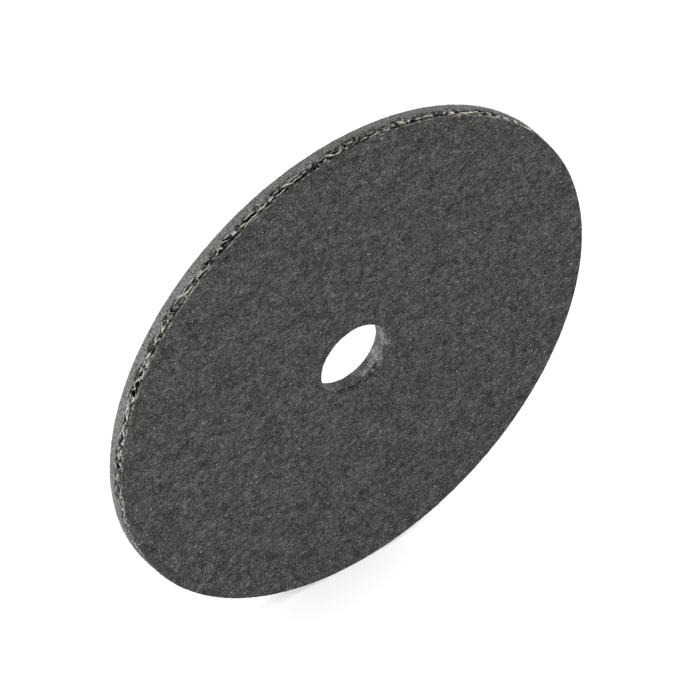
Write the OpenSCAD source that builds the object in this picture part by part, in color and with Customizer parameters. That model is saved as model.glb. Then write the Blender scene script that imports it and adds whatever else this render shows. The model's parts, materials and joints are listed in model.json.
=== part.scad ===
// Laminated felt polishing wheel with a plain arbor bore.
// The wheel stands upright: its axis is Y, its front face looks towards -Y,
// and the origin is the middle of the bore. All sizes are in millimetres.

/* [Wheel] */
// Outside diameter of the wheel
wheel_d = 150; // [100:1:200]
// Diameter of the plain bore that the arbor goes through
bore_d = 22.23; // [12:0.01:32]

/* [Felt plies] */
// Thickness of the thin felt facing that polishes
facing_t = 0.5; // [0.3:0.05:3]
// Thickness of the dense felt ply behind the scrim
backing_t = 2.7; // [1:0.05:8]

/* [Bond films] */
// Thickness of the adhesive film on each side of the scrim
film_t = 0.15; // [0.1:0.05:0.5]
// How far the films stop short of the rim and of the bore
film_setback = 0.4; // [0.2:0.1:1]

/* [Woven scrim] */
// Thickness of one layer of scrim yarns
yarn_t = 0.95; // [0.4:0.05:3]
// Width of one scrim yarn
yarn_w = 1.4; // [0.5:0.1:3]
// Distance from the middle of one yarn to the next
yarn_pitch = 4.2; // [4:0.1:12]
// How far the cut yarn ends stop short of the rim and of the bore
yarn_setback = 0.6; // [0.2:0.1:2]

/* [Hidden] */

// The plies lie one behind the other, from the front face to the rear face.
wheel_t = facing_t + film_t + 2 * yarn_t + film_t + backing_t;
facing_y = -wheel_t / 2;
front_film_y = facing_y + facing_t;
warp_y = front_film_y + film_t;
weft_y = warp_y + yarn_t;
rear_film_y = weft_y + yarn_t;
backing_y = rear_film_y + film_t;

// Yarns stand half a pitch to each side of the axis, and the last one on each
// side is the last that fits whole inside the trimmed edge.
yarn_edge_r = wheel_d / 2 - yarn_setback;
yarns_per_side = floor((yarn_edge_r - yarn_w / 2) / yarn_pitch + 1 / 2);

// Cutters run this far past what they cut.
over = 1;

$fn = 180;

// A flat ring about the wheel's axis, from y = front_y to y = front_y + thickness.
// It stops short of the wheel's rim and of the bore by the setback.
module ply_ring(front_y, thickness, setback = 0) {
    translate([0, front_y, 0])
        rotate([-90, 0, 0])
            difference() {
                cylinder(h = thickness, d = wheel_d - 2 * setback);
                translate([0, 0, -over])
                    cylinder(h = thickness + 2 * over, d = bore_d + 2 * setback);
            }
}

// One layer of parallel yarns that run along Z, cut to the wheel's outline.
module yarn_layer(front_y) {
    intersection() {
        ply_ring(front_y, yarn_t, yarn_setback);
        for (side = [-1, 1], i = [1 : yarns_per_side])
            translate([side * (i - 1 / 2) * yarn_pitch - yarn_w / 2, front_y - over, -wheel_d / 2])
                cube([yarn_w, yarn_t + 2 * over, wheel_d]);
    }
}

// Thin needled felt on the front: the face that carries the polish.
module felt_facing() {
    color("#4a4a48")
        ply_ring(facing_y, facing_t);
}

// Adhesive between the facing and the scrim.
module front_bond_film() {
    color("#2b2a28")
        ply_ring(front_film_y, film_t, film_setback);
}

// Upright yarns of the woven scrim that keeps the wheel from stretching.
module scrim_warp() {
    color("#b9b19c")
        yarn_layer(warp_y);
}

// Level yarns of the scrim, which cross behind the upright ones.
module scrim_weft() {
    color("#a8a396")
        rotate([0, 90, 0])
            yarn_layer(weft_y);
}

// Adhesive between the scrim and the backing.
module rear_bond_film() {
    color("#2b2a28")
        ply_ring(rear_film_y, film_t, film_setback);
}

// Dense felt ply at the rear, which gives the wheel its body.
module felt_backing() {
    color("#7f8384")
        ply_ring(backing_y, backing_t);
}

felt_facing();
front_bond_film();
scrim_warp();
scrim_weft();
rear_bond_film();
felt_backing();
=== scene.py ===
"""Looks of the felt polishing wheel: felt plies with real relief and loose fibres, a woven
scrim between them with frayed strands at the rim, glue films, floor, lights and camera.

Lengths are millimetres, which MM turns to metres where an object is made. The frame is the
row's: the wheel's axis is Y, its front face looks towards -Y and the origin is the middle of
the bore.
"""
import json
import math
from collections import namedtuple

import bpy
import numpy as np
from mathutils import Matrix, Vector, geometry, noise


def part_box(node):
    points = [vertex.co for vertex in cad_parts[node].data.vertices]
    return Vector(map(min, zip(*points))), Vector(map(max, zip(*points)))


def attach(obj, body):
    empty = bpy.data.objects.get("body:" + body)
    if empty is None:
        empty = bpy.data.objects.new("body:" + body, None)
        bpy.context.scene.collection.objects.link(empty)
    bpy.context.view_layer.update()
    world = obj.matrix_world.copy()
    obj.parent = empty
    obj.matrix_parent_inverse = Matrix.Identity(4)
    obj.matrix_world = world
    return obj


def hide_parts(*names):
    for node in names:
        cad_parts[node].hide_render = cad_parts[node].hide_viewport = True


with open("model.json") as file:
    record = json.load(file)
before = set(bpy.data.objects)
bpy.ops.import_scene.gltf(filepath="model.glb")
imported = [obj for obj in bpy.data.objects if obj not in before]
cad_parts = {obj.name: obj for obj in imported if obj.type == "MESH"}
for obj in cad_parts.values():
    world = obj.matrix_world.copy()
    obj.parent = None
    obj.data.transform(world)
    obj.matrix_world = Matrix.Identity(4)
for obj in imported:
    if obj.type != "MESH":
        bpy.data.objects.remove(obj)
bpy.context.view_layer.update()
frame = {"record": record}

MM = 0.001
FULL_TURN = 2.0 * math.pi

# ---------------------------------------------------------------- sizes from the frame

facing_low, facing_high = (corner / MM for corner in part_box("felt_facing"))
backing_low, backing_high = (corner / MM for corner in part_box("felt_backing"))
warp_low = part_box("scrim_warp")[0] / MM
weft_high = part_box("scrim_weft")[1] / MM
arbor_bore = next(m for m in frame["record"]["mounts"] if m["name"] == "arbor_bore")

WHEEL_R = facing_high.x
BORE_R = arbor_bore["dims"]["r_mm"]
FRONT_Y = facing_low.y
FACING_BACK_Y = facing_high.y
SCRIM_FRONT_Y = warp_low.y
SCRIM_BACK_Y = weft_high.y
SCRIM_MIDDLE_Y = (SCRIM_FRONT_Y + SCRIM_BACK_Y) / 2
BACKING_FRONT_Y = backing_low.y
REAR_Y = backing_high.y
FILM_T = SCRIM_FRONT_Y - FACING_BACK_Y

# Direction of the wheel's axis.
AXLE = np.array((0.0, 1.0, 0.0))

# ---------------------------------------------------------------- sizes of the details

# Spacing of the points on the polishing faces, on the cut edges, on the glue films, and on
# the sides of the felt that lie against the scrim.
FACE_SPACING = 0.57
EDGE_SPACING = 0.32
FILM_SPACING = 0.9
INNER_SPACING = 1.6

# Points of the faces are shaken by this share of their spacing, and stay this share of it
# clear of the edges.
SHAKE = 0.22
CLEARANCE = 0.7

# Depth of the relief on the polishing faces.
RELIEF = 0.055

# Radius of a ply's corners at the rim, at the bore, and where it meets the seam.
RIM_CORNER = 0.13
BORE_CORNER = 0.4
SEAM_CORNER = 0.03
CORNER_STEPS = 3

# Round the bore the plies are pressed together, fully over the first width and less and less
# up to the second, at this depth and with this gap between them.
FULLY_PRESSED_W = 0.3
PRESSED_W = 2.6
PRESSED_Y = -0.75
PRESSED_GAP = 0.02

# The felt's nap stands this far into the bore.
BORE_NAP = 0.4
BORE_WALL_R = BORE_R - BORE_NAP

# The glue stops this far short of the rim.
GLUE_SETBACK = 0.45

# Scrim: yarns of two twisted strands in a plain weave, cut short of the rim.
YARN_PITCH = 4.2
YARN_SETBACK = 0.7
STRAND_R = 0.31
TWIST_R = 0.27
TWIST_LENGTH = 4.4
WEAVE_HEIGHT = 0.42

# A yarn's sideways sway, and the length in which its phase turns by one radian.
SWAY = 0.25
SWAY_LENGTH = 11.0

# Steps between the points along a yarn, in the width next to the rim and further inside. A
# yarn stops within the slack of its end, and its last point then moves onto the end.
NEAR_RIM_W = 5.0
NEAR_RIM_STEP = 0.42
INNER_STEP = 1.4
END_SLACK = 0.3

# Frayed strands at the rim: the depth that they run at, their waves round the wheel, the
# length of their twist and the step between their points.
ROPE_Y = -0.75
ROPE_WAVES = 46
FRAYED_TWIST_LENGTH = 1.1
FRAYED_STEP = 0.24

# Number of sides of a yarn's strand and of a loose fibre.
STRAND_SIDES = 6
FIBRE_SIDES = 3

# Stage: half the floor's width, and the lamps' width and distance from the wheel.
FLOOR_REACH = 6000.0
LAMP_W = 900.0
LAMP_DISTANCE = 1500.0


# ---------------------------------------------------------------- noise and profiles

def smoothstep(low, high, value):
    """0 below low and 1 above high, with a smooth change between them."""
    t = np.clip((value - low) / (high - low), 0.0, 1.0)
    return t * t * (3.0 - 2.0 * t)


def ripple(points, size, seed, octaves=1):
    """Smooth noise at each point, seldom more than 0.7 either way, in lumps of this size."""
    shift = Vector((seed * 17.3, seed * 5.1, seed * 9.7))
    return np.array([noise.fractal(Vector(p) / size + shift, 1.0, 2.0, octaves) for p in points])


def column(values):
    """One value per row, ready to be multiplied by a list of steps."""
    return values[:, None]


# ---------------------------------------------------------------- meshes

def make_piece(name, points, faces, material):
    """A smooth-shaded mesh object from points in millimetres, riding on the wheel."""
    mesh = bpy.data.meshes.new(name)
    mesh.from_pydata((np.asarray(points) * MM).tolist(), [], faces)
    mesh.polygons.foreach_set("use_smooth", [True] * len(mesh.polygons))
    mesh.update()
    mesh.materials.append(material)
    piece = bpy.data.objects.new(name, mesh)
    bpy.context.scene.collection.objects.link(piece)
    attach(piece, "root")
    return piece


def ring(radius, count):
    """Points (x, z) spaced evenly round the wheel's axis."""
    turns = np.arange(count) * FULL_TURN / count
    return np.column_stack((radius * np.cos(turns), radius * np.sin(turns)))


def flat_annulus(rim_ring, bore_ring, spacing, rng):
    """Points (x, z) and triangles between two rings: the rim's points, the bore's, then the
    inner ones, which lie on a shaken triangular grid."""
    rim_r = np.hypot(*rim_ring[0])
    bore_r = np.hypot(*bore_ring[0])
    row_height = spacing * math.sqrt(3) / 2
    rows = int(rim_r / row_height) + 1
    columns = int(rim_r / spacing) + 1
    row, step = np.meshgrid(np.arange(-rows, rows + 1), np.arange(-columns, columns + 1))
    inner = np.column_stack(((step + 0.5 * (row % 2)).ravel() * spacing, row.ravel() * row_height))
    inner += rng.uniform(-SHAKE, SHAKE, inner.shape) * spacing
    reach = np.hypot(inner[:, 0], inner[:, 1])
    inside = (reach > bore_r + CLEARANCE * spacing) & (reach < rim_r - CLEARANCE * spacing)
    inner = inner[inside]

    points = np.vstack((rim_ring, bore_ring, inner))
    rim_count = len(rim_ring)
    bore_count = len(bore_ring)
    edges = [(i, (i + 1) % rim_count) for i in range(rim_count)]
    edges += [(rim_count + i, rim_count + (i + 1) % bore_count) for i in range(bore_count)]
    # Output type 0 fills the whole hull, so the triangles across the bore are dropped after it.
    output_type = 0
    tolerance = 1e-5
    corners = [Vector(p) for p in points]
    result = geometry.delaunay_2d_cdt(corners, edges, [], output_type, tolerance)
    assert len(result[0]) == len(points)
    triangles = np.array(result[2])
    on_bore_ring = (triangles >= rim_count) & (triangles < rim_count + bore_count)
    return points, triangles[~on_bore_ring.all(axis=1)]


# A cut edge of a ply: its corners at the front and the rear, its radial unevenness, and the
# further raggedness of its front, where yarns tore it.
Edge = namedtuple("Edge", "radius front_corner rear_corner roughness ragged")


def wall_rows(thickness, edge):
    """Rows down a ply's edge, as (inset from the edge, share of the way back, offset)."""
    front = edge.front_corner
    rear = edge.rear_corner
    quarter = [math.pi / 2 * i / CORNER_STEPS for i in range(CORNER_STEPS + 1)]
    rows = [(front * (1 - math.sin(a)), 0.0, front * (1 - math.cos(a))) for a in quarter]
    straight = max(1, round((thickness - front - rear) / EDGE_SPACING))
    for i in range(1, straight):
        share = i / straight
        rows.append((0.0, share, front * (1 - share) - rear * share))
    rows += [(rear * (1 - math.sin(a)), 1.0, -rear * (1 - math.cos(a))) for a in reversed(quarter)]
    return rows


def standing_back(place, edge, share, seed):
    """How far each point of a ply's edge stands back from the edge's own radius."""
    fine = ripple(place, size=1.1, seed=seed)
    broad = ripple(place, size=5.0, seed=seed + 1)
    torn = 0.3 + ripple(place, size=0.9, seed=seed + 2)
    return edge.roughness * (fine + 0.5 * broad) + edge.ragged * (1 - share) ** 3 * torn


def wall_points(front, rear, edge, outward, count, seed):
    """Rings of points down a ply's edge, after the front's own; outward is 1 at the rim and -1
    in the bore."""
    flat = ring(edge.radius, count)
    front_y = front(flat)
    rear_y = rear(flat)
    rings = []
    for inset, share, offset in wall_rows(float(np.mean(rear_y - front_y)), edge)[1:]:
        y = front_y * (1 - share) + rear_y * share + offset
        place = np.column_stack((flat[:, 0], y, flat[:, 1]))
        back = inset + standing_back(place, edge, share, seed)
        reach = 1.0 - outward * back / edge.radius
        rings.append(place * np.column_stack((reach, np.ones(count), reach)))
    return rings


def ply(name, front, rear, spacings, rim, bore, seed, material):
    """A closed felt or glue ring between two edges. front and rear give y at points (x, z),
    and spacings are those of the front and rear points."""
    rng = np.random.default_rng(seed)
    rim_count, bore_count = (round(FULL_TURN * edge.radius / EDGE_SPACING) for edge in (rim, bore))
    front_flat, front_triangles = flat_annulus(
        ring(rim.radius - rim.front_corner, rim_count),
        ring(bore.radius + bore.front_corner, bore_count),
        spacings[0],
        rng,
    )
    rear_flat, rear_triangles = flat_annulus(
        ring(rim.radius - rim.rear_corner, rim_count),
        ring(bore.radius + bore.rear_corner, bore_count),
        spacings[1],
        rng,
    )
    points = [np.column_stack((front_flat[:, 0], front(front_flat), front_flat[:, 1]))]
    faces = front_triangles.tolist()
    total = len(front_flat)
    last_rows = []
    for edge, outward, count, first in ((rim, 1, rim_count, 0), (bore, -1, bore_count, rim_count)):
        above = np.arange(first, first + count)
        for wall_ring in wall_points(front, rear, edge, outward, count, seed + 3):
            points.append(wall_ring)
            below = np.arange(total, total + count)
            total += count
            corners = [above, below, np.roll(below, -1), np.roll(above, -1)]
            faces += np.column_stack(corners[::outward]).tolist()
            above = below
        last_rows.append(above)
    inner = rear_flat[rim_count + bore_count:]
    points.append(np.column_stack((inner[:, 0], rear(inner), inner[:, 1])))
    index = np.concatenate((*last_rows, np.arange(total, total + len(inner))))
    faces += index[rear_triangles][:, ::-1].tolist()
    return make_piece(name, np.vstack(points), faces, material)


def tubes(paths, radii, sides):
    """Points and faces of closed tubes: paths is (tube, point, xyz) and radii (tube, point)."""
    tangent = np.gradient(paths, axis=1)
    tangent /= np.linalg.norm(tangent, axis=2, keepdims=True)
    side = np.cross(tangent, AXLE)
    side /= np.linalg.norm(side, axis=2, keepdims=True)
    up = np.cross(side, tangent)
    turns = np.arange(sides) * FULL_TURN / sides
    across = (
        np.cos(turns)[:, None] * side[:, :, None, :] + np.sin(turns)[:, None] * up[:, :, None, :]
    )
    points = (paths[:, :, None, :] + radii[:, :, None, None] * across).reshape(-1, 3)
    tube_count, ring_count = radii.shape
    index = np.arange(tube_count * ring_count * sides).reshape(tube_count, ring_count, sides)
    near = index[:, :-1]
    far = index[:, 1:]
    quads = np.stack((near, far, np.roll(far, -1, axis=2), np.roll(near, -1, axis=2)), axis=-1)
    faces = quads.reshape(-1, 4).tolist()
    # One face closes each end.
    faces += index[:, 0].tolist()
    faces += index[:, -1, ::-1].tolist()
    return points, faces


def joined(parts):
    """One list of points and one of faces from several (points, faces) pairs."""
    points = []
    faces = []
    total = 0
    for part_points, part_faces in parts:
        points.append(part_points)
        faces += [[corner + total for corner in face] for face in part_faces]
        total += len(part_points)
    return np.vstack(points), faces


# ---------------------------------------------------------------- surfaces of the plies

def on_plane(flat):
    """Points (x, 0, z) from points (x, z)."""
    return np.column_stack((flat[:, 0], np.zeros(len(flat)), flat[:, 1]))


def pressed(flat):
    """1 at the bore, where the plies are pressed together, falling to 0 a little way out."""
    reach = np.hypot(flat[:, 0], flat[:, 1])
    return 1.0 - smoothstep(BORE_R + FULLY_PRESSED_W, BORE_R + PRESSED_W, reach)


def felt_relief(flat, seed):
    """Depth of the felt's own relief below its flat face."""
    place = on_plane(flat)
    fine = ripple(place, size=1.2, seed=seed, octaves=2)
    broad = ripple(place, size=4.5, seed=seed + 1)
    return RELIEF * (0.6 - fine - 0.5 * broad)


# The surfaces that bound the plies and the films, each of which gives y at points (x, z).

def front_face(flat):
    return FRONT_Y + felt_relief(flat, 1)


def facing_back(flat):
    place = on_plane(flat)
    broad = ripple(place, size=2.8, seed=5)
    fine = ripple(place, size=0.8, seed=6)
    free = FACING_BACK_Y + 0.16 * broad + 0.28 * fine
    closed = PRESSED_Y - PRESSED_GAP / 2
    return free + (closed - free) * pressed(flat)


def backing_front(flat):
    """The backing's torn front, which bulges into the scrim and draws back from it."""
    place = on_plane(flat)
    broad = ripple(place, size=2.8, seed=7)
    fine = ripple(place, size=1.0, seed=8)
    free = BACKING_FRONT_Y + 0.22 + 1.25 * broad + 0.7 * fine
    free = np.clip(free, BACKING_FRONT_Y - 0.9, BACKING_FRONT_Y + 1.1)
    closed = PRESSED_Y + PRESSED_GAP / 2
    return free + (closed - free) * pressed(flat)


def rear_face(flat):
    return REAR_Y - felt_relief(flat, 11)


def front_film_rear(flat):
    return facing_back(flat) + FILM_T


def rear_film_front(flat):
    return backing_front(flat) - FILM_T


# ---------------------------------------------------------------- shader nodes

class Shader:
    """A Principled material and the nodes that drive it, in millimetres of the wheel's frame."""

    def __init__(self, name):
        self.material = bpy.data.materials.new(name)
        self.material.use_nodes = True
        self.tree = self.material.node_tree
        self.surface = self.tree.nodes["Principled BSDF"]
        place = self.tree.nodes.new("ShaderNodeTexCoord").outputs["Object"]
        self.place = self.vector("SCALE", place, scale=1.0 / MM)

    def link(self, value, socket):
        """Wires a socket from another node's output, or sets it to a number, vector or colour."""
        if hasattr(value, "is_output"):
            self.tree.links.new(value, socket)
        elif socket.type == "RGBA":
            socket.default_value = (*value, 1.0)
        else:
            socket.default_value = value

    def math(self, operation, first, second=0.0, clamp=False):
        node = self.tree.nodes.new("ShaderNodeMath")
        node.operation = operation
        node.use_clamp = clamp
        self.link(first, node.inputs[0])
        self.link(second, node.inputs[1])
        return node.outputs[0]

    def times(self, first, second, clamp=False):
        return self.math("MULTIPLY", first, second, clamp)

    def total(self, base, *terms):
        """The base plus each value times its weight, for terms of (weight, value)."""
        for weight, value in terms:
            base = self.math("ADD", base, self.times(value, weight))
        return base

    def vector(self, operation, first, second=(0, 0, 0), scale=1.0):
        """A vector from a vector operation, or a value for LENGTH. Only SCALE uses scale."""
        node = self.tree.nodes.new("ShaderNodeVectorMath")
        node.operation = operation
        self.link(first, node.inputs[0])
        if operation == "SCALE":
            self.link(scale, node.inputs["Scale"])
        elif operation != "LENGTH":
            self.link(second, node.inputs[1])
        return node.outputs["Value" if operation == "LENGTH" else "Vector"]

    def step(self, value, low, high):
        """0 up to low and 1 from high on, with a smooth change between them. Where low is the
        greater it falls instead, from 1 at high to 0 at low."""
        node = self.tree.nodes.new("ShaderNodeMapRange")
        node.interpolation_type = "SMOOTHSTEP"
        self.link(value, node.inputs["Value"])
        node.inputs["From Min"].default_value = low
        node.inputs["From Max"].default_value = high
        return node.outputs["Result"]

    def noise(self, size, detail=0.0, shift=0.0, place=None):
        """Noise from 0 to 1 with lumps about size millimetres across."""
        node = self.tree.nodes.new("ShaderNodeTexNoise")
        node.inputs["Scale"].default_value = 1.0 / size
        node.inputs["Detail"].default_value = detail
        place = self.vector("ADD", place or self.place, (shift, shift, shift))
        self.link(place, node.inputs["Vector"])
        return node.outputs["Fac"]

    def cells(self, size, shift=0.0):
        """Distance from the nearest of many scattered points, and a random value for each."""
        node = self.tree.nodes.new("ShaderNodeTexVoronoi")
        node.inputs["Scale"].default_value = 1.0 / size
        self.link(self.vector("ADD", self.place, (shift, shift, shift)), node.inputs["Vector"])
        colour = self.tree.nodes.new("ShaderNodeSeparateColor")
        self.link(node.outputs["Color"], colour.inputs[0])
        return self.times(node.outputs["Distance"], size), colour.outputs[0]

    def mix(self, share, first, second):
        """The first colour, turning to the second as share goes from 0 to 1."""
        node = self.tree.nodes.new("ShaderNodeMix")
        node.data_type = "RGBA"
        self.link(share, node.inputs["Factor"])
        self.link(first, node.inputs[6])
        self.link(second, node.inputs[7])
        return node.outputs[2]

    def brighten(self, colour, amount):
        """The colour times a value."""
        return self.vector("SCALE", colour, scale=amount)

    def radius(self):
        """Distance from the wheel's axis."""
        return self.vector("LENGTH", self.vector("MULTIPLY", self.place, (1, 0, 1)))

    def along(self, axis):
        """The place along X, Y or Z, for axis 0, 1 or 2."""
        node = self.tree.nodes.new("ShaderNodeSeparateXYZ")
        self.link(self.place, node.inputs[0])
        return node.outputs[axis]

    def highlight_side(self):
        """1 on the wheel's +X side and 0 on the other: there the facing's cut edge and the
        yarn ends get a painted highlight, and the backing's cut edge is a little darker.
        """
        return self.step(self.along(0), 5.0, 45.0)

    def fibres(self, width, length, directions, shift):
        """A web of curved fibres that lie in the wheel's plane, from 0 between them to 1 on one."""
        bend = self.tree.nodes.new("ShaderNodeTexNoise")
        bend.inputs["Scale"].default_value = 1.0 / length
        self.link(self.place, bend.inputs["Vector"])
        wander = self.vector("SUBTRACT", bend.outputs["Color"], (0.5, 0.5, 0.5))
        bent = self.vector("ADD", self.place, self.vector("SCALE", wander, scale=length * 0.9))
        spacing = width * 2.4
        web = 0.0
        # Each direction has its own turn, and its own part of the noise.
        for i in range(directions):
            turned = self.tree.nodes.new("ShaderNodeMapping")
            turned.inputs["Rotation"].default_value = (0, math.pi * (i + 0.3) / directions, 0)
            turned.inputs["Location"].default_value = (shift + 7.1 * i, 0, 3.3 * i)
            turned.inputs["Scale"].default_value = (width / length, 1, 1)
            self.link(bent, turned.inputs["Vector"])
            # A fibre runs where the stretched noise passes through its middle value.
            value = self.noise(spacing, place=turned.outputs[0])
            off_middle = self.math("ABSOLUTE", self.math("SUBTRACT", value, 0.5))
            on_fibre = self.math("SUBTRACT", 1.0, self.step(off_middle, 0.01, 0.085))
            web = self.math("MAXIMUM", web, on_fibre)
        return web

    def finish(self, colour, roughness, height, depth, sheen=0.02):
        """Wires colour, roughness and relief, where depth is in millimetres for a height of 1."""
        self.link(colour, self.surface.inputs["Base Color"])
        self.link(roughness, self.surface.inputs["Roughness"])
        self.surface.inputs["Sheen Weight"].default_value = sheen
        self.surface.inputs["Sheen Roughness"].default_value = 0.45
        self.surface.inputs["Specular IOR Level"].default_value = 0.04
        bump = self.tree.nodes.new("ShaderNodeBump")
        bump.inputs["Strength"].default_value = 1.0
        bump.inputs["Distance"].default_value = depth * MM
        self.link(height, bump.inputs["Height"])
        self.link(bump.outputs["Normal"], self.surface.inputs["Normal"])
        return self.material


# ---------------------------------------------------------------- felt material

# Colours of a felt: between its fibres and on them, on its cut edge, on that edge's +X side,
# where yarns tore it, and in the bore's pale patches. The +X side's colour is a painted
# highlight on the facing and a little darker on the backing; the torn colour and the pale
# patches are partly real and partly a painted highlight.
FeltColours = namedtuple("FeltColours", "ground fibre cut clean_cut torn fluff")

# What lies on a felt's face: a faint bluish bloom and specks of pale dust.
BLOOM = (0.135, 0.150, 0.156)
DUST = (0.40, 0.40, 0.38)

# Patterns that the felt's colour and relief share, each from 0 to 1.
FeltGrain = namedtuple("FeltGrain", "hairs bundles clumps mottle fine speckle")


def felt_grain(shader, shift):
    """The patterns of one felt, with sizes and lengths in millimetres."""
    return FeltGrain(
        hairs=shader.fibres(width=0.10, length=0.55, directions=4, shift=shift),
        bundles=shader.fibres(width=0.24, length=1.1, directions=3, shift=shift + 50),
        clumps=shader.noise(size=0.8, detail=2.0, shift=shift),
        mottle=shader.noise(size=1.8, detail=2.0, shift=shift + 20),
        fine=shader.step(shader.noise(size=0.19, detail=1.0, shift=shift + 80), 0.30, 0.70),
        speckle=shader.step(shader.noise(size=0.30, detail=1.0, shift=shift + 90), 0.38, 0.62),
    )


def felt_face(shader, grain, colours, shift):
    """A felt's face: fibres on a dark ground, with a faint bloom and specks of dust."""
    bundled = shader.times(grain.bundles, shader.step(grain.clumps, 0.35, 0.72))
    covered = shader.total(0.0, (0.32, grain.hairs), (0.75, bundled), (0.34, grain.speckle))
    covered = shader.times(covered, shader.math("ADD", 0.20, grain.fine))
    colour = shader.mix(shader.times(covered, 0.9, clamp=True), colours.ground, colours.fibre)
    broad = shader.noise(size=6.0, detail=2.0, shift=shift + 40)
    tone = shader.total(
        -1.24, (0.55, broad), (2.05, grain.mottle), (1.15, grain.fine), (0.5, grain.speckle)
    )
    darkest = 0.06
    colour = shader.brighten(colour, shader.math("MAXIMUM", tone, darkest))

    bloom = shader.step(shader.noise(size=2.4, detail=1.0, shift=shift + 120), 0.58, 0.78)
    bloom = shader.times(bloom, shader.times(grain.fine, 0.6))
    colour = shader.mix(bloom, colour, BLOOM)
    distance, chance = shader.cells(size=1.4, shift=shift)
    speck = shader.times(shader.step(chance, 0.86, 0.95), shader.step(distance, 0.26, 0.10))
    return shader.mix(shader.times(speck, 0.9), colour, DUST)


def cut_tone(shader, grain):
    """Brightness of a cut edge, where fibre ends show as a fine grain."""
    tone = shader.total(-0.4, (1.0, grain.fine), (1.1, grain.speckle), (0.6, grain.mottle))
    darkest = 0.1
    return shader.math("MAXIMUM", tone, darkest)


def rim_colour(shader, grain, colours, shift):
    """A felt's cut edge at the rim. Along the seam it turns creamy in patches, partly fibres where
    yarns tore it and partly a painted highlight on the edge next to the seam.
    """
    depth = shader.total(shader.along(1), (1.2, grain.clumps))
    near_seam = shader.step(depth, BACKING_FRONT_Y + 0.70, BACKING_FRONT_Y + 0.20)
    # Creamy patches along the seam: partly fibres torn from the yarns, partly a painted highlight.
    torn_and_highlight = shader.step(shader.noise(size=1.7, detail=2.0, shift=shift + 60), 0.44, 0.60)
    # On the wheel's +X side the edge takes another colour: a painted highlight on the facing.
    colour = shader.mix(shader.highlight_side(), colours.cut, colours.clean_cut)
    colour = shader.mix(shader.times(near_seam, torn_and_highlight), colour, colours.torn)
    return shader.brighten(colour, cut_tone(shader, grain))


def fluff_and_highlight_patches(shader, grain, shift):
    """1 in pale patches round the bore, partly raised nap and partly a painted highlight: the
    sideways term gathers them at the bore's left and right, where light catches its wall.
    """
    # Painted highlight: the sides of the bore, where light catches its wall, get more pale patches.
    sideways = shader.times(shader.math("ABSOLUTE", shader.along(0)), 1.0 / BORE_R)
    patches = shader.noise(size=2.4, detail=2.0, shift=shift + 9)
    patches = shader.total(patches, (0.16, sideways), (0.10, grain.speckle))
    return shader.step(patches, 0.50, 0.92)


def bore_colour(shader, grain, colours, face, fluff_and_highlight_mask):
    """The bore's wall: the face's colour in front, rubbed behind, with pale patches that are
    partly raised nap and partly a painted highlight.
    """
    colour = shader.mix(fluff_and_highlight_mask, shader.brighten(colours.cut, 0.5), colours.fluff)
    colour = shader.brighten(colour, cut_tone(shader, grain))
    depth = shader.total(shader.along(1), (1.2, grain.clumps), (1.8, fluff_and_highlight_mask))
    behind = shader.step(depth, PRESSED_Y - 0.2, PRESSED_Y + 1.9)
    return shader.mix(behind, face, colour)


def felt_material(name, colours, sheen, shift):
    """Needled felt: its face, its cut edge at the rim and its wall in the bore. The shift moves
    its patterns, so that the two plies differ."""
    shader = Shader(name)
    grain = felt_grain(shader, shift)
    radius = shader.radius()
    face = felt_face(shader, grain, colours, shift)
    at_rim = shader.step(radius, WHEEL_R - 0.26, WHEEL_R - 0.08)
    colour = shader.mix(at_rim, face, rim_colour(shader, grain, colours, shift))
    fluff_and_highlight_mask = fluff_and_highlight_patches(shader, grain, shift)
    spread = shader.total(radius, (-0.8, fluff_and_highlight_mask))
    at_bore = shader.step(spread, BORE_WALL_R + 0.35, BORE_WALL_R + 0.05)
    colour = shader.mix(at_bore, colour, bore_colour(shader, grain, colours, face, fluff_and_highlight_mask))
    height = shader.total(0.0, (0.6, grain.bundles), (0.8, grain.clumps), (0.5, grain.fine))
    roughness = shader.total(0.84, (0.14, grain.fine))
    return shader.finish(colour, roughness, height, 0.06, sheen)


# ---------------------------------------------------------------- other materials

def yarn_material():
    """Impregnated yarn: near black inside the wheel, which is painted shade deep in the seam, and
    pale and dusty where the rim was cut.
    """
    shader = Shader("scrim_yarn_look")
    painted_deep_shade = (0.012, 0.012, 0.012)
    bare = (0.04, 0.042, 0.046)
    dusted = (0.62, 0.60, 0.53)
    hairs = shader.fibres(width=0.07, length=0.8, directions=3, shift=5.0)
    dusty = shader.step(shader.noise(size=1.5, detail=2.0), 0.38, 0.55)
    fuzz = shader.step(shader.noise(size=0.22, detail=1.0, shift=7.0), 0.30, 0.70)
    # The yarn ends are brighter on the wheel's +X side, as a painted highlight.
    tone = shader.total(0.42, (0.45, hairs), (0.55, fuzz), (0.8, shader.highlight_side()))
    cut = shader.brighten(shader.mix(dusty, bare, dusted), tone)
    # Painted shade: the yarn is near black further in from the rim, deep in the seam.
    out_of_deep_shade = shader.step(shader.radius(), WHEEL_R - 0.85, WHEEL_R - 0.5)
    colour = shader.mix(out_of_deep_shade, painted_deep_shade, cut)
    return shader.finish(colour, roughness=0.9, height=hairs, depth=0.05)


def film_material():
    """Dried adhesive, near black with a dusting of lint."""
    shader = Shader("bond_adhesive_look")
    lint = shader.step(shader.noise(size=0.5, detail=2.0), 0.55, 0.8)
    colour = shader.mix(lint, (0.008, 0.008, 0.008), (0.03, 0.03, 0.028))
    roughness = shader.total(0.6, (0.3, lint))
    lumps = shader.noise(size=0.7, detail=2.0, shift=12.0)
    return shader.finish(colour, roughness, height=lumps, depth=0.1, sheen=0.0)


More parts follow.
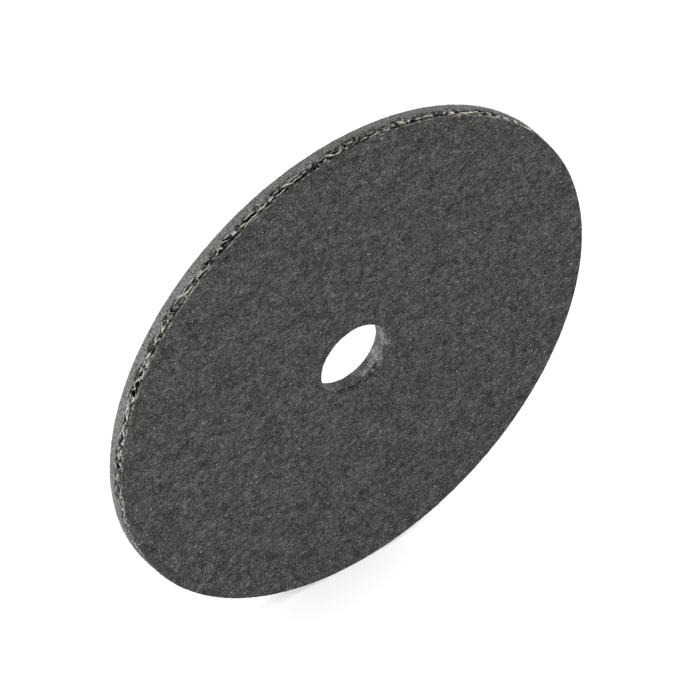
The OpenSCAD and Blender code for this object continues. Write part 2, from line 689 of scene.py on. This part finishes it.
def loose_fibre_material(name, dark, pale):
    """Loose fibres whose shade changes from one to the next."""
    shader = Shader(name)
    shade = shader.step(shader.noise(size=0.45, detail=1.0, shift=31.0), 0.35, 0.68)
    colour = shader.mix(shade, dark, pale)
    return shader.finish(colour, roughness=0.85, height=shader.noise(size=0.2), depth=0.01)


# ---------------------------------------------------------------- woven scrim

def twisted_pair(line, radii, turn, twist_r, across):
    """Two strands that wind round each other along a line, as a list of tubes; across is
    square to the line and to the wheel's axis."""
    parts = []
    for start in (0.0, math.pi):
        angle = column(start + turn)
        path = line + twist_r * (np.cos(angle) * across + np.sin(angle) * AXLE)
        parts.append(tubes(path[None], radii[None], STRAND_SIDES))
    return parts


def yarn_stops(low, high, beside):
    """Places along a yarn, close together near the rim and further apart inside the wheel."""
    places = [low]
    while places[-1] < high - END_SLACK:
        near_rim = math.hypot(places[-1], beside) > WHEEL_R - NEAR_RIM_W
        places.append(places[-1] + (NEAR_RIM_STEP if near_rim else INNER_STEP))
    places[-1] = high
    return np.array(places)


def yarn(along_z, number, low, high, beside):
    """One yarn of the weave, from low to high along its own line; beside is how far that line
    lies from the wheel's axis."""
    places = yarn_stops(low, high, beside)
    sway = beside + SWAY * np.sin(places / SWAY_LENGTH + number)
    wave = WEAVE_HEIGHT * np.cos(math.pi * (places / YARN_PITCH - 0.5 + number))
    if along_z:
        line = np.column_stack((sway, SCRIM_MIDDLE_Y + wave, places))
        across = np.array((1.0, 0.0, 0.0))
    else:
        line = np.column_stack((places, SCRIM_MIDDLE_Y - wave, sway))
        across = np.array((0.0, 0.0, 1.0))
    lengths = np.concatenate(([0.0], np.cumsum(np.linalg.norm(np.diff(line, axis=0), axis=1))))
    turn = lengths * FULL_TURN / TWIST_LENGTH
    radii = np.full(len(line), STRAND_R)
    return twisted_pair(line, radii, turn, TWIST_R, across)


def woven_scrim(material):
    """The whole cloth: yarns along Z and yarns along X, over and under each other."""
    rng = np.random.default_rng(21)
    parts = []
    edge_r = WHEEL_R - YARN_SETBACK
    inner_r = BORE_R + PRESSED_W
    half = int((edge_r - STRAND_R - TWIST_R) / YARN_PITCH + 0.5)
    for along_z in (True, False):
        for number in range(-half, half):
            beside = (number + 0.5) * YARN_PITCH
            rim_reach = math.sqrt(edge_r ** 2 - beside ** 2) - rng.uniform(0.0, 0.5)
            bore_reach = math.sqrt(max(inner_r ** 2 - beside ** 2, 0.0))
            spans = [(-rim_reach, rim_reach)]
            if bore_reach:
                spans = [(-rim_reach, -bore_reach), (bore_reach, rim_reach)]
            drift = rng.uniform(-0.2, 0.2)
            for low, high in spans:
                parts += yarn(along_z, number, low, high, beside + drift)
    points, faces = joined(parts)
    return make_piece("woven_scrim", points, faces, material)


def round_the_rim(turn, radius, y):
    """Points at these turns about the wheel's axis, these radii and these depths."""
    return np.stack((radius * np.cos(turn), y, radius * np.sin(turn)), axis=-1)


def gathered(turn):
    """Turns that were spread evenly round the wheel, drawn together into loose clumps."""
    return turn + 0.012 * np.sin(53 * turn) + 0.007 * np.sin(91 * turn)


def rim_strands(material):
    """Yarn ends that the cutting drew out along the rim, in two ropes that wind past each
    other between the facing and the backing. One strand in six swings right across."""
    rng = np.random.default_rng(33)
    count = 275
    parts = []
    for i in range(count):
        length = rng.uniform(2.6, 8.6)
        along = np.linspace(0.0, length, int(length / FRAYED_STEP) + 2)
        turn = FULL_TURN * (i + rng.uniform(0.0, 1.0)) / count + along / WHEEL_R
        # A strand thins out and dives into the seam towards both its ends.
        bow = np.sqrt(np.abs(np.sin(math.pi * along / length)))
        # Odd strands run half a wave behind the even ones, which makes the second rope.
        phase = ROPE_WAVES * turn + 1.8 * np.sin(5 * turn) + 1.1 * np.sin(23 * turn)
        phase += rng.normal(0.0, 0.35) + (math.pi if i % 2 else 0.0)
        reach = rng.uniform(0.35, 0.95) if i % 6 else rng.uniform(1.0, 1.35)
        y = ROPE_Y + rng.uniform(-0.2, 0.35) + reach * np.sin(phase)
        radius = WHEEL_R - 0.12 - rng.uniform(0.0, 0.35) - 0.9 * (1.0 - bow)
        thick = rng.uniform(0.06, 0.135) * (0.35 + 0.65 * bow)
        line = round_the_rim(turn, radius, y)
        outward = round_the_rim(turn, 1.0, 0.0 * turn)
        twist = along * FULL_TURN / FRAYED_TWIST_LENGTH
        parts += twisted_pair(line, thick, twist, 1.2 * column(thick), outward)
    points, faces = joined(parts)
    return make_piece("scrim_frayed_strands", points, faces, material)


def seam_fibres(material):
    """Single fibres torn out of the yarns and the felt, across and along the seam."""
    rng = np.random.default_rng(45)
    count = 1200
    steps = np.linspace(0.0, 1.0, 6)
    length = column(rng.uniform(0.5, 2.2, count))
    slope = column(rng.normal(0.0, 0.7, count))
    bend = column(rng.normal(0.0, 0.35, count))
    turn = gathered(column(rng.uniform(0, FULL_TURN, count)))
    turn = turn + np.cos(slope) * length * steps / WHEEL_R
    y = column(rng.uniform(SCRIM_MIDDLE_Y - 0.3, SCRIM_BACK_Y + 0.1, count))
    y = y + np.sin(slope) * length * (steps - 0.5) + bend * np.sin(math.pi * steps)
    y = np.clip(y, FACING_BACK_Y - 0.1, BACKING_FRONT_Y + 0.3)
    radius = WHEEL_R - column(rng.uniform(0.05, 0.9, count)) - 0.3 * (2 * steps - 1) ** 2
    thick = column(rng.uniform(0.025, 0.065, count)) * np.array((0.5, 1, 1, 1, 1, 0.5))
    points, faces = tubes(round_the_rim(turn, radius, y), thick, FIBRE_SIDES)
    return make_piece("seam_fibres", points, faces, material)


# ---------------------------------------------------------------- loose fibres of the felt

def fringe(name, edge_y, away, count, seed, material):
    """Short torn fibres on a ply's cut edge, reaching out over the seam from y = edge_y;
    away is 1 for a fringe that points to the rear and -1 for one that points to the front."""
    rng = np.random.default_rng(seed)
    steps = np.linspace(0.0, 1.0, 4)
    length = column(rng.uniform(0.25, 0.9, count))
    slope = column(rng.normal(0.0, 0.8, count))
    turn = gathered(column(rng.uniform(0, FULL_TURN, count)))
    turn = turn + np.sin(slope) * length * steps / WHEEL_R
    sunk = column(rng.uniform(0.0, 0.15, count))
    y = edge_y + away * (np.cos(slope) * length * (steps - 0.45) - sunk)
    radius = WHEEL_R - column(rng.uniform(-0.03, 0.12, count))
    radius = radius - column(rng.uniform(0.0, 0.3, count)) * steps ** 2
    thick = column(rng.uniform(0.03, 0.075, count)) * np.array((0.8, 1.0, 0.8, 0.4))
    points, faces = tubes(round_the_rim(turn, radius, y), thick, FIBRE_SIDES)
    return make_piece(name, points, faces, material)


def face_fibres(name, surface, lift, seed, material):
    """Short curled fibres that lie half sunk in a felt face; lift is 1 where the face looks
    towards +Y and -1 where it looks towards -Y."""
    rng = np.random.default_rng(seed)
    count = 9000
    steps = np.linspace(-0.5, 0.5, 4)
    reach = np.sqrt(rng.uniform((BORE_R + 0.8) ** 2, (WHEEL_R - 0.9) ** 2, count))
    turn = rng.uniform(0, FULL_TURN, count)
    heading = column(rng.uniform(0, FULL_TURN, count))
    along = column(rng.uniform(0.4, 1.3, count)) * steps
    angle = heading + column(rng.normal(0, 1.1, count)) * steps
    x = column(reach * np.cos(turn)) + along * np.cos(angle)
    z = column(reach * np.sin(turn)) + along * np.sin(angle)
    thick = column(rng.uniform(0.03, 0.07, count)) * np.array((0.5, 1.0, 1.0, 0.5))
    flat = np.column_stack((x.ravel(), z.ravel()))
    y = surface(flat).reshape(x.shape) + lift * column(rng.uniform(-0.4, 1.0, count)) * thick
    points, faces = tubes(np.stack((x, y, z), axis=-1), thick, FIBRE_SIDES)
    return make_piece(name, points, faces, material)


def edge_fibres(name, edge_r, outward, count, seed, material):
    """Fine fibres combed flat over a cut edge of the backing, a few standing off it; outward
    is 1 at the rim and -1 in the bore."""
    rng = np.random.default_rng(seed)
    steps = np.linspace(0.0, 1.0, 4)
    length = column(rng.uniform(0.4, 1.6, count))
    slope = column(rng.normal(0.0, 0.9, count))
    turn = column(rng.uniform(0, FULL_TURN, count)) + np.cos(slope) * length * steps / edge_r
    y = column(rng.uniform(BACKING_FRONT_Y + 0.1, REAR_Y - 0.1, count))
    y = np.clip(y + np.sin(slope) * length * (steps - 0.5), BACKING_FRONT_Y, REAR_Y)
    stand_off = column(np.abs(rng.normal(0.0, 0.11, count)))
    radius = edge_r + outward * stand_off * np.sin(math.pi * steps)
    thick = column(rng.uniform(0.015, 0.032, count)) * np.array((0.5, 1.0, 1.0, 0.5))
    points, faces = tubes(round_the_rim(turn, radius, y), thick, FIBRE_SIDES)
    return make_piece(name, points, faces, material)


# ---------------------------------------------------------------- the wheel

def make_facing(grey_fibres):
    """The thin front felt, with its own fibres."""
    look = felt_material(
        "facing_felt_look",
        FeltColours(
            ground=(0.005, 0.005, 0.0048),
            fibre=(0.116, 0.116, 0.110),
            cut=(0.050, 0.052, 0.052),
            # Painted highlight on the +X side of the cut edge.
            clean_cut=(0.092, 0.094, 0.084),
            # Partly torn fibres, partly a painted highlight along the edge.
            torn=(0.165, 0.170, 0.165),
            # Pale patches in the bore, partly raised nap and partly a painted highlight.
            fluff=(0.19, 0.195, 0.19),
        ),
        sheen=0.02,
        shift=0.0,
    )
    rim = Edge(WHEEL_R, RIM_CORNER, SEAM_CORNER, roughness=0.09, ragged=0.0)
    bore = Edge(BORE_WALL_R, BORE_CORNER, SEAM_CORNER, roughness=0.10, ragged=0.0)
    spacings = (FACE_SPACING, INNER_SPACING)
    facing = ply(
        "facing", front_face, facing_back, spacings, rim, bore,
        seed=101, material=look,
    )
    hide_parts("felt_facing")
    fuzz = face_fibres(
        "facing_fibres", front_face, lift=-1, seed=51, material=grey_fibres
    )
    torn = fringe(
        "facing_fringe", edge_y=FACING_BACK_Y, away=1, count=2200, seed=71,
        material=grey_fibres,
    )
    return facing, [fuzz, torn]


def make_backing(grey_fibres, pale_fibres, rim_fibre_look):
    """The thick rear felt, with its own fibres."""
    look = felt_material(
        "backing_felt_look",
        FeltColours(
            ground=(0.007, 0.0072, 0.007),
            fibre=(0.125, 0.127, 0.122),
            cut=(0.134, 0.138, 0.139),
            # A little darker on the +X side of the cut edge.
            clean_cut=(0.122, 0.124, 0.122),
            # Partly torn yarn fibres, partly a painted highlight on the edge's front corner.
            torn=(0.36, 0.345, 0.295),
            # Pale patches in the bore, partly raised nap and partly a painted highlight.
            fluff=(0.19, 0.195, 0.19),
        ),
        sheen=0.2,
        shift=300.0,
    )
    rim = Edge(WHEEL_R, SEAM_CORNER, RIM_CORNER, roughness=0.07, ragged=0.32)
    bore = Edge(BORE_WALL_R, SEAM_CORNER, RIM_CORNER, roughness=0.12, ragged=0.0)
    spacings = (INNER_SPACING, FACE_SPACING)
    backing = ply(
        "backing", backing_front, rear_face, spacings, rim, bore,
        seed=102, material=look,
    )
    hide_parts("felt_backing")
    fuzz = face_fibres(
        "backing_fibres", rear_face, lift=1, seed=52, material=grey_fibres
    )
    rim_fuzz = edge_fibres(
        "rim_fibres", WHEEL_R, outward=1, count=7500, seed=61, material=rim_fibre_look
    )
    bore_fuzz = edge_fibres(
        "bore_fibres", BORE_WALL_R, outward=-1, count=700, seed=62, material=grey_fibres
    )
    torn = fringe(
        "backing_fringe", edge_y=BACKING_FRONT_Y - 0.3, away=-1, count=1600, seed=72,
        material=pale_fibres,
    )
    return backing, [fuzz, rim_fuzz, bore_fuzz, torn]


def make_films():
    """The two films of adhesive, one on each side of the scrim."""
    look = film_material()
    rim = Edge(WHEEL_R - GLUE_SETBACK, SEAM_CORNER, SEAM_CORNER, roughness=0.35, ragged=0.0)
    bore = Edge(BORE_R + PRESSED_W, SEAM_CORNER, SEAM_CORNER, roughness=0.35, ragged=0.0)
    for name, front, rear, node, seed in (
        ("front_glue_film", facing_back, front_film_rear, "front_bond_film", 103),
        ("rear_glue_film", rear_film_front, backing_front, "rear_bond_film", 104),
    ):
        spacings = (FILM_SPACING, FILM_SPACING)
        film = ply(name, front, rear, spacings, rim, bore, seed, look)
        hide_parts(node)


def make_scrim(pale_fibres):
    """The woven scrim, with what the cutting drew out of it at the rim."""
    look = yarn_material()
    scrim = woven_scrim(look)
    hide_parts("scrim_warp", "scrim_weft")
    return scrim, [rim_strands(look), seam_fibres(pale_fibres)]


def make_wheel():
    """All the pieces of the wheel: the facing, the scrim and the backing, each with the loose
    fibres or strands that it carries, and the glue films."""
    grey_fibres = loose_fibre_material("grey_fibre_look", (0.02, 0.02, 0.02), (0.23, 0.235, 0.235))
    pale_fibres = loose_fibre_material("pale_fibre_look", (0.08, 0.08, 0.078), (0.48, 0.45, 0.38))
    rim_fibre_look = loose_fibre_material(
        "rim_fibre_look", (0.08, 0.082, 0.082), (0.50, 0.495, 0.455)
    )
    facing, on_facing = make_facing(grey_fibres)
    backing, on_backing = make_backing(grey_fibres, pale_fibres, rim_fibre_look)
    make_films()
    scrim, on_scrim = make_scrim(pale_fibres)


# ---------------------------------------------------------------- stage, lights and camera

def make_floor():
    """A plain pale floor that the wheel stands on."""
    reach = FLOOR_REACH * MM
    corners = [(-reach, -reach, 0), (reach, -reach, 0), (reach, reach, 0), (-reach, reach, 0)]
    mesh = bpy.data.meshes.new("floor")
    mesh.from_pydata(corners, [], [(0, 1, 2, 3)])
    floor = bpy.data.objects.new("floor", mesh)
    floor.location.z = -WHEEL_R * MM
    bpy.context.scene.collection.objects.link(floor)
    material = bpy.data.materials.new("pale_floor")
    material.use_nodes = True
    surface = material.node_tree.nodes["Principled BSDF"]
    surface.inputs["Base Color"].default_value = (0.95, 0.95, 0.95, 1)
    surface.inputs["Roughness"].default_value = 0.9
    surface.inputs["Specular IOR Level"].default_value = 0.0
    surface.inputs["Emission Color"].default_value = (1, 1, 1, 1)
    surface.inputs["Emission Strength"].default_value = 0.15
    mesh.materials.append(material)


def make_lamp(name, towards, power):
    """A large soft disc of light that faces the wheel; towards points from the wheel to it."""
    lamp = bpy.data.lights.new(name, "AREA")
    lamp.shape = "DISK"
    lamp.size = LAMP_W * MM
    lamp.energy = power
    direction = Vector(towards).normalized()
    softbox = bpy.data.objects.new(name, lamp)
    softbox.location = direction * LAMP_DISTANCE * MM
    softbox.rotation_euler = direction.to_track_quat("Z", "Y").to_euler()
    bpy.context.scene.collection.objects.link(softbox)


def make_lights():
    """An even white dome, a soft lamp to the left of the front face and one to the right."""
    world = bpy.data.worlds.new("white_dome")
    world.use_nodes = True
    background = world.node_tree.nodes["Background"]
    background.inputs["Color"].default_value = (1, 1, 1, 1)
    background.inputs["Strength"].default_value = 1.0
    bpy.context.scene.world = world
    make_lamp("left_softbox", towards=(-0.86, -0.45, 0.22), power=17.5)
    make_lamp("right_softbox", towards=(0.95, 0.12, 0.15), power=16.0)


def make_camera():
    """A long lens that looks down on the front face from the left, and aims a little left of
    the face's middle and above it."""
    azimuth = math.radians(-37.37)
    elevation = math.radians(43.97)
    distance = 2451.7
    aim_left = 1.35
    aim_up = 2.56
    right = Vector((math.cos(azimuth), math.sin(azimuth), 0.0))
    back = Vector((
        math.sin(azimuth) * math.cos(elevation),
        -math.cos(azimuth) * math.cos(elevation),
        math.sin(elevation),
    ))
    up = back.cross(right)
    place = Vector((0.0, FRONT_Y, 0.0)) + back * distance - right * aim_left + up * aim_up
    lens = bpy.data.cameras.new("camera")
    lens.lens = 487.0
    lens.sensor_width = 36.0
    lens.clip_end = 20.0
    camera = bpy.data.objects.new("camera", lens)
    turned = Matrix((right, up, back)).transposed().to_4x4()
    camera.matrix_world = Matrix.Translation(place * MM) @ turned
    bpy.context.scene.collection.objects.link(camera)
    bpy.context.scene.camera = camera


make_wheel()
make_floor()
make_lights()
make_camera()
bpy.context.scene.view_settings.view_transform = "Standard"
